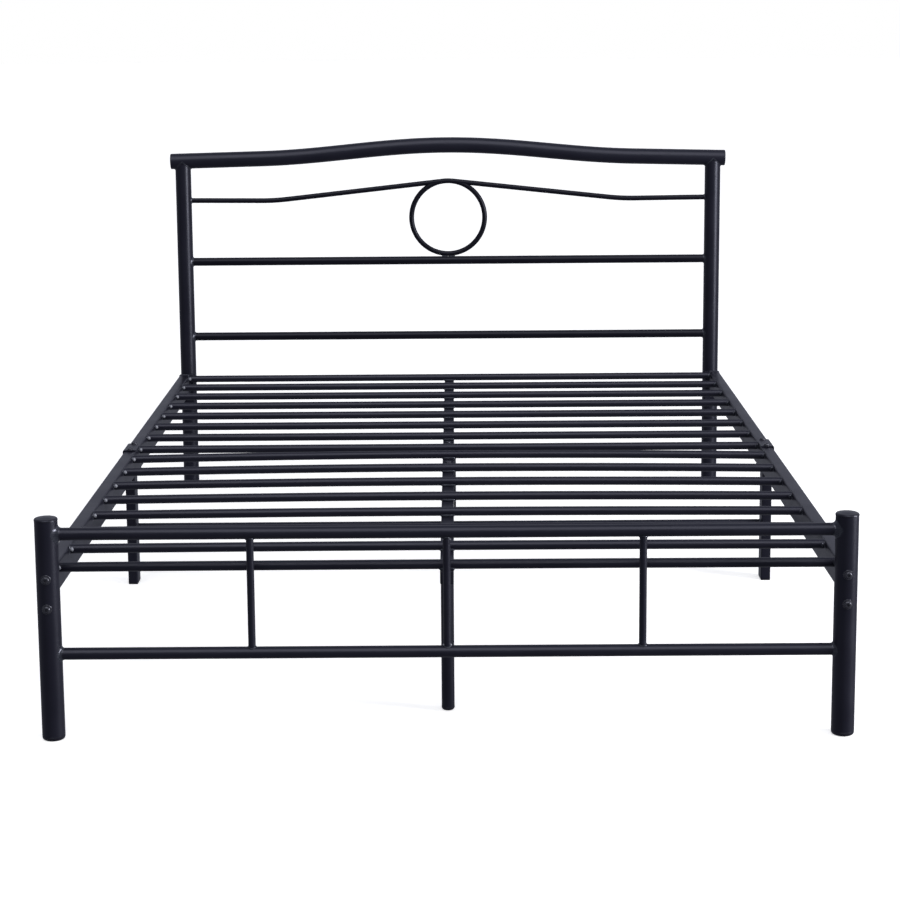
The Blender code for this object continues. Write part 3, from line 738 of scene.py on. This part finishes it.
def button_head(shape, place, radius, height):
    """A button-head screw: a domed head with a hexagon socket."""
    across, along = Vector((1, 0, 0)), Vector((0, 1, 0))
    rings = [socket_ring(height * 0.35), socket_ring(height - 0.0001)]
    top = SOCKET_RADIUS * 1.35
    for tilt in spread(0, math.pi / 2, 8):
        ring_radius = top + (radius - top) * math.sin(tilt)
        ring_height = height * (0.22 + 0.78 * math.cos(tilt))
        rings.append(circle(Vector((0, 0, ring_height)), across, along, ring_radius, HEAD_SIDES))
    rings.append(circle(Vector((0, 0, 0.0001)), across, along, radius * 0.97, HEAD_SIDES))
    skin(shape, [[place @ point for point in ring] for ring in rings])


def washer_profile(hole, outer, thickness, chamfer):
    """Half the section of a washer with a bevelled upper rim, as (radius, height) points."""
    rim = [(outer, 0.0), (outer, thickness * 0.7), (outer - chamfer, thickness)]
    return [(hole, 0.0), *rim, (hole, thickness)]


def saddle_washer(shape, centre, outward):
    """A washer that is bent to the round of the post."""
    sides = 40
    rings = []
    for radius, height in washer_profile(0.0042, 0.0088, 0.0012, 0.0004):
        ring = []
        for index in range(sides):
            angle = 2 * math.pi * index / sides
            dx, dz = radius * math.cos(angle), radius * math.sin(angle)
            away = math.sqrt(POST_RADIUS**2 - dx**2) + height
            ring.append((centre[0] + dx, centre[1] + outward * away, centre[2] + dz))
        rings.append(ring)
    skin(shape, rings, closed=True)


def make_frame_bolts(end, outward, side, sign):
    """The two bolts through a post, each with its washer."""
    x, y = sign * POST_X, POST_YS[end]
    washers = bmesh.new()
    for index, z in enumerate(BOLT_ZS, start=1):
        shape = bmesh.new()
        place = transform_to((x, y + outward * (POST_RADIUS + 0.0008), z), (0, outward, 0))
        button_head(shape, place, 0.0065, 0.0042)
        piece(f"{end}_post_bolt_{side}_{index}", shape, "bolt_steel", f"frame_bolt_{end}_{side}_{index}")
        saddle_washer(washers, (x, y, z), outward)
    piece(f"{end}_post_washers_{side}", washers, "bolt_steel")


def flat_screw(heads, washers, location):
    """An upright button-head screw on a flat washer."""
    place = transform_to(location, (0, 0, 1))
    thickness = 0.0010
    turned(washers, washer_profile(0.0030, 0.0082, thickness, 0.0003), place, HEAD_SIDES)
    button_head(heads, place @ Matrix.Translation((0, 0, thickness)), 0.0060, 0.0034)


# ---------------------------------------------------------------- side rails


def make_side_rail(end, outward, side, sign):
    """Half a side rail with the plate that closes it at the post."""
    shape = bmesh.new()
    plate_far = POST_YS[end] - outward * (POST_RADIUS + GAP)
    plate_near = plate_far - outward * PLATE_THICKNESS
    middle_x = sign * (RAIL_OUTER_X - RAIL_WIDTH / 2)
    inner_y = JOINT_Y + outward * GAP
    start, stop = (middle_x, plate_near, RAIL_MIDDLE_Z), (middle_x, inner_y, RAIL_MIDDLE_Z)
    box_tube(shape, start, stop, RAIL_WIDTH / 2, RAIL_HEIGHT / 2, RAIL_CORNER, 1)
    plate_x, plate_z = sign * PLATE_X, (PLATE_BOTTOM + RAIL_TOP) / 2
    half_width, half_height = PLATE_WIDTH / 2, (RAIL_TOP - PLATE_BOTTOM) / 2
    outline = rounded_rectangle(half_width, half_height, 0.003)
    worn = 0.0004
    far_edge, near_edge = plate_far - outward * worn, plate_near + outward * worn
    rings = []
    for y, shrink in ((plate_far, worn), (far_edge, 0), (near_edge, 0), (plate_near, worn)):
        scale_x, scale_z = 1 - shrink / half_width, 1 - shrink / half_height
        rings.append([(plate_x + px * scale_x, y, plate_z + pz * scale_z) for px, pz in outline])
    skin(shape, rings)
    piece(f"side_rail_{end}_half_{side}", shape, "powder_coat", f"side_rail_{end}_{side}")


def make_rail_welds():
    """Beads around the rails at their end plates."""
    shape = bmesh.new()
    outline = rounded_rectangle(RAIL_WIDTH / 2, RAIL_HEIGHT / 2, RAIL_CORNER, 4)
    dense = []
    for (x0, z0), (x1, z1) in zip(outline, outline[1:] + outline[:1]):
        steps = max(1, round(math.hypot(x1 - x0, z1 - z0) / 0.001))
        dense += [(x0 + (x1 - x0) * i / steps, z0 + (z1 - z0) * i / steps) for i in range(steps)]
    for end, outward in ENDS.items():
        y = POST_YS[end] - outward * (POST_RADIUS + GAP + PLATE_THICKNESS)
        for sign in (-1, 1):
            x = sign * (RAIL_OUTER_X - RAIL_WIDTH / 2)
            path = [(x + dx, y, RAIL_MIDDLE_Z + dz) for dx, dz in dense]
            bead(shape, path, 0.0017, seed=outward + 5 * sign)
    weld_piece("side_rail_welds", shape)


def bracket_outline():
    """The channel's section for the right side, as (x, z) points: three walls around the rail."""
    thick = extent("joint_bracket_right").z / 2 - RAIL_HEIGHT / 2 - GAP
    out_x, in_x = BRACKET_HIGH.x, BRACKET_LOW.x
    top, bottom = BRACKET_HIGH.z, BRACKET_LOW.z
    bend, lip = 0.0035, 0.0006
    outline = [(in_x + lip, top), *arc(out_x - bend, top - bend, bend, 90, 0, 5)]
    outline += arc(out_x - bend, bottom + bend, bend, 0, -90, 5)
    outline += [(in_x + lip, bottom), (in_x, bottom + lip), (in_x, bottom + thick - lip)]
    outline += [(in_x + lip, bottom + thick)]
    inner = bend - thick
    outline += arc(out_x - thick - inner, bottom + thick + inner, inner, -90, 0, 3)
    outline += arc(out_x - thick - inner, top - thick - inner, inner, 0, 90, 3)
    outline += [(in_x + lip, top - thick), (in_x, top - thick + lip), (in_x, top - lip)]
    return outline


def make_joint_bracket(side, sign):
    shape = bmesh.new()
    outline = bracket_outline()
    skin(shape, [[(sign * x, y, z) for x, z in outline] for y in (BRACKET_LOW.y, BRACKET_HIGH.y)])
    rim = [edge for edge in shape.edges if abs(edge.verts[0].co.y - edge.verts[1].co.y) < 1e-6]
    bmesh.ops.recalc_face_normals(shape, faces=shape.faces)
    bmesh.ops.bevel(shape, geom=rim, offset=0.0005, segments=2, affect="EDGES")
    piece(f"rail_joint_bracket_{side}", shape, "powder_coat", f"joint_bracket_{side}")


def make_joint_bolts():
    """Screws on top of each joint."""
    heads, washers = bmesh.new(), bmesh.new()
    for sign in (-1, 1):
        for end in (-1, 1):
            y = JOINT_Y + end * JOINT_SCREW_SPACING / 2
            flat_screw(heads, washers, (sign * JOINT_SCREW_X, y, BRACKET_HIGH.z))
    piece("rail_joint_screws", heads, "bolt_steel")
    piece("rail_joint_washers", washers, "bolt_steel")


# ---------------------------------------------------------------- slats and centre rail


def slat_z(x, y):
    """Height of the axis of the slat at y, at a distance x from the bed's middle."""
    return SLAT_Z + crown(y) * (1 - (x / RAIL_INNER_X) ** 2)


def make_slat(number, y):
    shape = bmesh.new()
    reach = RAIL_INNER_X - GAP
    spans = 24 if crown(y) else 1
    path = [(x, y, slat_z(x, y)) for x in spread(-reach, reach, spans)]
    tube(shape, path, SLAT_RADIUS, SLAT_SIDES)
    piece(f"cross_slat_{number:02d}", shape, "powder_coat", f"slat_{number:02d}")


def make_slat_welds(end, numbers):
    """The welds of each slat: a ring and two tacks at each side rail, and two beads on the centre rail. The
    tacks at the left rail take a light finish, a painted highlight of the light from the right; the tacks
    at the right rail keep the dark weld coat.
    """
    shape, highlight_tacks = bmesh.new(), bmesh.new()
    for number in numbers:
        y = SLAT_YS[number - 1]
        for sign in (-1, 1):
            x = sign * RAIL_INNER_X
            flat_fillet(shape, x, y, SLAT_Z, sign, SLAT_RADIUS, 0.0020, seed=number + 0.5 * sign)
            for front in (-1, 1):
                centre = (x - sign * TACK_IN, y + front * TACK_ASIDE, SLAT_Z + TACK_UP)
                # Left tacks take the painted-highlight finish and right tacks the dark coat: lit and shaded
                # copies of one weld.
                tack(highlight_tacks if sign < 0 else shape, centre, TACK_RADIUS, seed=number + sign + 2 * front)
        bottom = slat_z(0, y) - SLAT_RADIUS
        for front in (-1, 1):
            reach = 0.0145 + 0.001 * noise.noise(Vector((number * 3.1, front, 0)))
            path = [(x, y + front * 0.0062, bottom + 0.0021) for x in spread(-reach, reach, 16)]
            bead(shape, path, 0.0030, seed=number + 20 * front, closed=False)
    weld_piece(f"slat_welds_{end}_half", shape)
    coated_piece(f"slat_tacks_{end}_half", highlight_tacks, PAINTED_HIGHLIGHT_WELD)


def centre_bottom(y):
    """Height of the underside of the centre rail's foot half."""
    return SLAT_Z + crown(y) - SLAT_RADIUS - GAP - CENTRE_WIDTH


def make_centre_rails():
    half = CENTRE_WIDTH / 2
    foot = bmesh.new()
    start_y, stop_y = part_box("centre_rail_foot")[0].y, CENTRE_SPLIT_Y
    start = (0, start_y, centre_bottom(start_y) + half)
    stop = (0, stop_y, centre_bottom(-0.001) + half)
    box_tube(foot, start, stop, half, half, SQUARE_CORNER, 1)
    piece("centre_rail_foot_half", foot, "powder_coat", "centre_rail_foot")
    head = bmesh.new()
    low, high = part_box("centre_rail_head")
    start = (0, CENTRE_SPLIT_Y + 2 * GAP, high.z - half)
    box_tube(head, start, (0, high.y, high.z - half), half, half, SQUARE_CORNER, 1)
    splice_angle(head, low, high)
    piece("centre_rail_head_half", head, "powder_coat", "centre_rail_head")


def splice_angle(shape, low, high):
    """The angle across the joint of the two halves: a plate below them and a flange on their right side."""
    half = CENTRE_WIDTH / 2
    near, far = CENTRE_SPLIT_Y - LAP_REACH, CENTRE_SPLIT_Y + LAP_REACH
    for left, right, bottom, top, start, stop in (
        (-half, high.x, low.z, low.z + LAP_PLATE, near, far),
        (half + GAP, high.x, low.z, high.z - 0.001, low.y, far),
    ):
        middle_x, middle_z = (left + right) / 2, (bottom + top) / 2
        outline = rounded_rectangle((right - left) / 2, (top - bottom) / 2, 0.0006, 2)
        skin(shape, [[(middle_x + x, y, middle_z + z) for x, z in outline] for y in (start, stop)])


def make_centre_plugs():
    """Plastic plugs in the centre rail's two open ends."""
    shape = bmesh.new()
    half = CENTRE_WIDTH / 2
    for node, outward in (("centre_rail_foot", -1), ("centre_rail_head", 1)):
        low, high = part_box(node)
        end_y = low.y if outward < 0 else high.y
        z = (centre_bottom(end_y) + half) if outward < 0 else high.z - half
        face = [(0.0016, 0.0016), (0.0010, 0.0006), (0.0, 0.0004)]
        rings = []
        for proud, inset in (*face, (0.0, 0.0016), (-PLUG_DEPTH, 0.0018)):
            outline = rounded_rectangle(half - inset, half - inset, 0.0022)
            rings.append([(px, end_y + outward * proud, z + pz) for px, pz in outline])
        skin(shape, rings)
    piece("centre_rail_plugs", shape, "black_plastic")


def make_centre_bolts():
    """Button heads on top of the centre rail, one in each half, near the splice."""
    shape = bmesh.new()
    for y in SPLICE_BOLT_YS:
        top = centre_bottom(y) + CENTRE_WIDTH if y < 0 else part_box("centre_rail_head")[1].z
        button_head(shape, transform_to((0, y, top - 0.0002), (0, 0, 1)), 0.0062, 0.0036)
    piece("centre_rail_bolts", shape, "bolt_steel")


# ---------------------------------------------------------------- legs


def make_middle_leg(side):
    """A rectangular leg with the plastic glide that pushes into it."""
    shape = bmesh.new()
    node = f"middle_leg_{side}"
    half_x, half_y, _ = extent(node) / 2
    x, y, _ = middle(node)
    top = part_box(node)[1].z + 2 * GAP
    box_tube(shape, (x, y, 0.004), (x, y, top), half_x, half_y, SQUARE_CORNER, 2)
    piece(f"middle_support_leg_{side}", shape, "powder_coat", node)
    foot = bmesh.new()
    sole = [(0.0, 0.0012), (0.0010, 0.0002), (0.0038, 0.0)]
    plug = [(0.0038, TUBE_WALL + 0.0001), (0.016, TUBE_WALL + 0.0003)]
    rings = []
    for z, inset in sole + plug:
        corner = SQUARE_CORNER - min(inset, 0.0015)
        outline = rounded_rectangle(half_x - inset, half_y - inset, corner)
        rings.append([(x + px, y + py, z) for px, py in outline])
    skin(foot, rings)
    piece(f"middle_leg_glide_{side}", foot, "black_plastic")


def make_stretcher():
    shape = bmesh.new()
    _, y, z = middle("middle_leg_stretcher")
    tube(shape, [(-STRETCHER_END_X, y, z), (STRETCHER_END_X, y, z)], BAR_RADIUS, BAR_SIDES)
    piece("middle_stretcher", shape, "powder_coat", "middle_leg_stretcher")


def make_centre_leg(end):
    """A round leg with the plastic glide that pushes into it."""
    node = f"centre_leg_{end}"
    radius, y = extent(node).x / 2, middle(node).y
    shape = bmesh.new()
    tube(shape, [(0, y, 0.006), (0, y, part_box(node)[1].z + 2 * GAP)], radius, LEG_SIDES)
    piece(f"centre_support_leg_{end}", shape, "powder_coat", node)
    foot = bmesh.new()
    sole, collar_top, plug_top = 0.0058, 0.0068, 0.016
    outer, plug = radius + 0.0003, radius - 0.0016
    profile = [(TIP, plug_top), (plug, plug_top), (plug, collar_top), (outer - 0.0003, collar_top)]
    profile += [(outer, collar_top - 0.0004), *arc(outer - sole, sole, sole, 0, -90, 8), (TIP, 0)]
    turned(foot, profile, Matrix.Translation((0, y, 0)), LEG_SIDES)
    piece(f"centre_leg_glide_{end}", foot, "black_plastic")


def make_leg_welds():
    """Fillets at the stretcher's ends, and a bead where each centre leg meets the centre rail."""
    shape = bmesh.new()
    _, y, z = middle("middle_leg_stretcher")
    for sign in (-1, 1):
        x = sign * STRETCHER_END_X
        flat_fillet(shape, x, y, z, sign, BAR_RADIUS, 0.0032, seed=x)
    for end in ENDS:
        node = f"centre_leg_{end}"
        centre = Vector((0, middle(node).y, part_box(node)[1].z + GAP))
        path = circle(centre, Vector((1, 0, 0)), Vector((0, 1, 0)), extent(node).x / 2, 48)
        bead(shape, path, 0.0020, seed=centre.y)
    weld_piece("leg_welds", shape)


# ---------------------------------------------------------------- the whole bed


def make_bed():
    make_top_rail()
    make_ring()
    make_head_bar("headboard_middle_bar", "headboard_mid_bar", MID_BAR_Z)
    make_head_bar("headboard_lower_bar", "headboard_low_bar", LOW_BAR_Z)
    make_headboard_welds()
    make_foot_bars()
    for name, x in (("left", -SPINDLE_X), ("centre", 0), ("right", SPINDLE_X)):
        make_spindle(name, x)
    make_footboard_welds()
    for side, sign in SIDES.items():
        make_top_rail_cap(side, sign)
        make_head_post(side, sign)
        make_scroll_rod(side, sign)
        make_foot_post(side, sign)
        make_foot_post_cap(side, sign)
        make_joint_bracket(side, sign)
        make_middle_leg(side)
        for end, outward in ENDS.items():
            make_glide(end, side, sign)
            make_frame_bolts(end, outward, side, sign)
            make_side_rail(end, outward, side, sign)
    make_rail_welds()
    make_joint_bolts()
    for number, y in enumerate(SLAT_YS, start=1):
        make_slat(number, y)
    make_slat_welds("head", range(1, 9))
    make_slat_welds("foot", range(9, 17))
    make_centre_rails()
    make_centre_plugs()
    make_centre_bolts()
    make_stretcher()
    for end in ENDS:
        make_centre_leg(end)
    make_leg_welds()


# ---------------------------------------------------------------- stage, light and camera

CAMERA_PLACE = (0.0194, -4.4804, 1.2644)
CAMERA_PITCH = 0.1614
CAMERA_YAW = 0.0031
CAMERA_ROLL = 0.0074
CAMERA_LENS = 84.30
CAMERA_SHIFT_Y = -0.12

ROOM_COLOUR = (0.82, 0.85, 1.0)
ROOM_IN_FRONT = 0.15
ROOM_BEHIND = 0.44
BELOW_HORIZON = 0.45  # share of the extra light behind that is left below the horizon
FRONT_TO_BEHIND = (-0.4, 0.9)  # where the room changes, as Y and Z of a unit vector towards it
LOW_TO_HIGH = (-0.22, 0.12)

FLOOR_RADIUS = 40
DOME_RADIUS = 45
FLOOR_GLOW = 0.62

CEILING_STRENGTH = 1.15
CEILING_SPREAD = math.radians(50)
CEILING_TILT = math.radians(36)
SOFTBOX_PLACE = (4.6, -2.1, 1.3)
SOFTBOX_TARGET = (0, -0.4, 0.5)
SOFTBOX_SIZE = (1.0, 2.4)
SOFTBOX_POWER = 215


def set_stage(obj, name, grey, specular, glow):
    """Makes an object part of the studio: matt, with a glow of its own, and left out of reflections."""
    obj.name = name
    material, _, shader = shader_of(name)
    shader.inputs["Base Color"].default_value = (grey, grey, grey, 1)
    shader.inputs["Roughness"].default_value = 0.9
    shader.inputs["Specular IOR Level"].default_value = specular
    shader.inputs["Emission Color"].default_value = (1, 1, 1, 1)
    shader.inputs["Emission Strength"].default_value = glow
    obj.data.materials.append(material)
    obj.visible_glossy = False
    obj.visible_diffuse = False


def make_floor():
    """A pale round floor, so wide that its rim is out of sight."""
    bpy.ops.mesh.primitive_circle_add(vertices=96, radius=FLOOR_RADIUS, fill_type="NGON")
    set_stage(bpy.context.object, "studio_floor", 0.90, 0.1, FLOOR_GLOW)


def make_backdrop():
    """A white dome around the floor that casts no shadow."""
    bpy.ops.mesh.primitive_uv_sphere_add(segments=64, ring_count=32, radius=DOME_RADIUS)
    dome = bpy.context.object
    dome.visible_shadow = False
    set_stage(dome, "studio_backdrop", 0.0, 0.0, 1.0)


def make_world():
    """A soft room: dim in front, brighter behind, and only partly so below the horizon."""
    world = bpy.data.worlds.new("studio")
    bpy.context.scene.world = world
    world.use_nodes = True
    tree = world.node_tree
    way = tree.nodes.new("ShaderNodeSeparateXYZ")
    tree.links.new(tree.nodes.new("ShaderNodeTexCoord").outputs["Generated"], way.inputs["Vector"])
    behind = range_node(tree, way.outputs["Y"], 0, 1, *FRONT_TO_BEHIND)
    high = range_node(tree, way.outputs["Z"], BELOW_HORIZON, 1, *LOW_TO_HIGH)
    both = tree.nodes.new("ShaderNodeMath")
    both.operation = "MULTIPLY"
    tree.links.new(behind.outputs["Result"], both.inputs[0])
    tree.links.new(high.outputs["Result"], both.inputs[1])
    strength = range_node(tree, both.outputs["Value"], ROOM_IN_FRONT, ROOM_BEHIND, 0, 1)
    background = tree.nodes["Background"]
    background.inputs["Color"].default_value = (*ROOM_COLOUR, 1)
    tree.links.new(strength.outputs["Result"], background.inputs["Strength"])


def make_lights():
    """A wide soft light above the front, and a tall soft box on the right."""
    ceiling = bpy.data.lights.new("front_ceiling", "SUN")
    ceiling.energy = CEILING_STRENGTH
    ceiling.angle = CEILING_SPREAD
    place_in_scene("front_ceiling", ceiling).rotation_euler = (CEILING_TILT, 0, 0)
    softbox = bpy.data.lights.new("right_softbox", "AREA")
    softbox.shape = "RECTANGLE"
    softbox.size, softbox.size_y = SOFTBOX_SIZE
    softbox.energy = SOFTBOX_POWER
    light = place_in_scene("right_softbox", softbox)
    light.location = SOFTBOX_PLACE
    way = Vector(SOFTBOX_TARGET) - Vector(SOFTBOX_PLACE)
    light.rotation_euler = way.to_track_quat("-Z", "Y").to_euler()


def make_camera():
    data = bpy.data.cameras.new("camera")
    data.lens = CAMERA_LENS
    data.sensor_width = 36
    data.shift_y = CAMERA_SHIFT_Y
    data.clip_end = 200
    camera = place_in_scene("camera", data)
    turn = Matrix.Rotation(CAMERA_YAW, 4, "Z")
    turn @= Matrix.Rotation(math.pi / 2 - CAMERA_PITCH, 4, "X")
    turn @= Matrix.Rotation(-CAMERA_ROLL, 4, "Z")
    camera.matrix_world = Matrix.Translation(CAMERA_PLACE) @ turn
    bpy.context.scene.camera = camera


make_bed()
make_floor()
make_backdrop()
make_world()
make_lights()
make_camera()
bpy.context.scene.view_settings.view_transform = "Standard"
